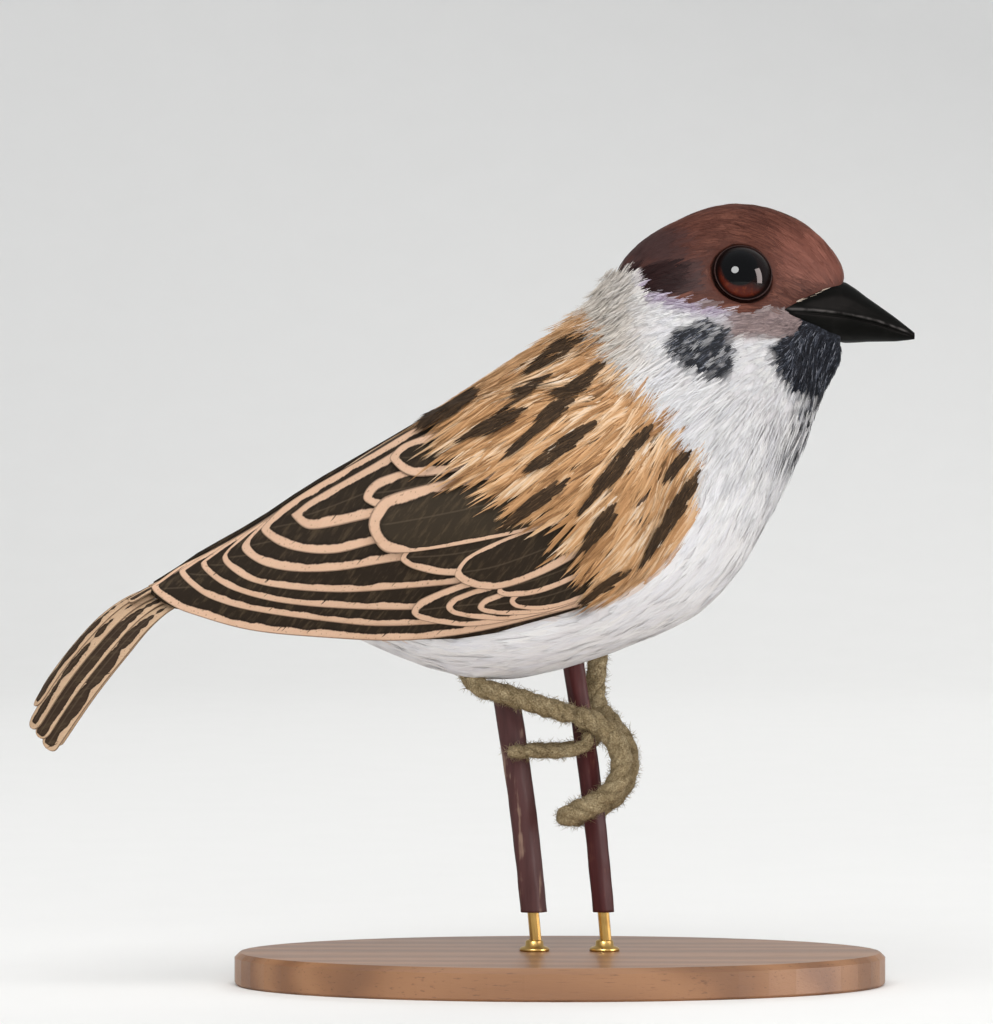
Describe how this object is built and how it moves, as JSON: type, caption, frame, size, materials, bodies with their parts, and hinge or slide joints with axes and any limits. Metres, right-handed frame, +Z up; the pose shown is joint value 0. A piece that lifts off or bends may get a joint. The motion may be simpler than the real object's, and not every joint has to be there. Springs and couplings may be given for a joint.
{
  "type": "artificial tree sparrow on display stand",
  "caption": "Still, life-size artificial sparrow with real-look feathers and twine-bound wire feet, gripping two cut stems on a flat oval stand.",
  "frame": {"origin": "centre of the oval stand base's flat underside, on the surface it stands on", "axes": "+X is the way the bird faces, -Y is its right side, +Z is up"},
  "size_m": [0.1366, 0.054, 0.1202],
  "materials": {
    "plumage_head": "feather down lying flat, painted chestnut, with brush streaks",
    "plumage_body": "soft glued feathers, white below, tan with dark streaks above",
    "bill_plastic": "satin black moulded plastic",
    "eye_glass": "clear polished dome over a dark brown iris and black pupil",
    "wing_feather": "flat feathers, dark brown with pinkish tan edges",
    "twine": "hairy twine wound tightly round wire",
    "stem": "dark red-brown plant stem, faintly ribbed",
    "base_wood": "satin varnished wood",
    "rod_brass": "drawn brass rod"
  },
  "bodies": {
    "root": {"head": "plumage_head", "neck": "plumage_body", "trunk": "plumage_body", "bill": "bill_plastic", "eye_right": "eye_glass", "eye_left": "eye_glass", "wing_right": "wing_feather", "wing_left": "wing_feather", "tail": "wing_feather", "leg_right": "twine", "leg_left": "twine", "toe_front_right": "twine", "toe_front_left": "twine", "toe_back_right": "twine", "toe_back_left": "twine", "perch_stem_front": "stem", "perch_stem_rear": "stem", "stand_base": "base_wood", "stand_rod_front": "rod_brass", "stand_rod_rear": "rod_brass"}
  },
  "joints": []
}
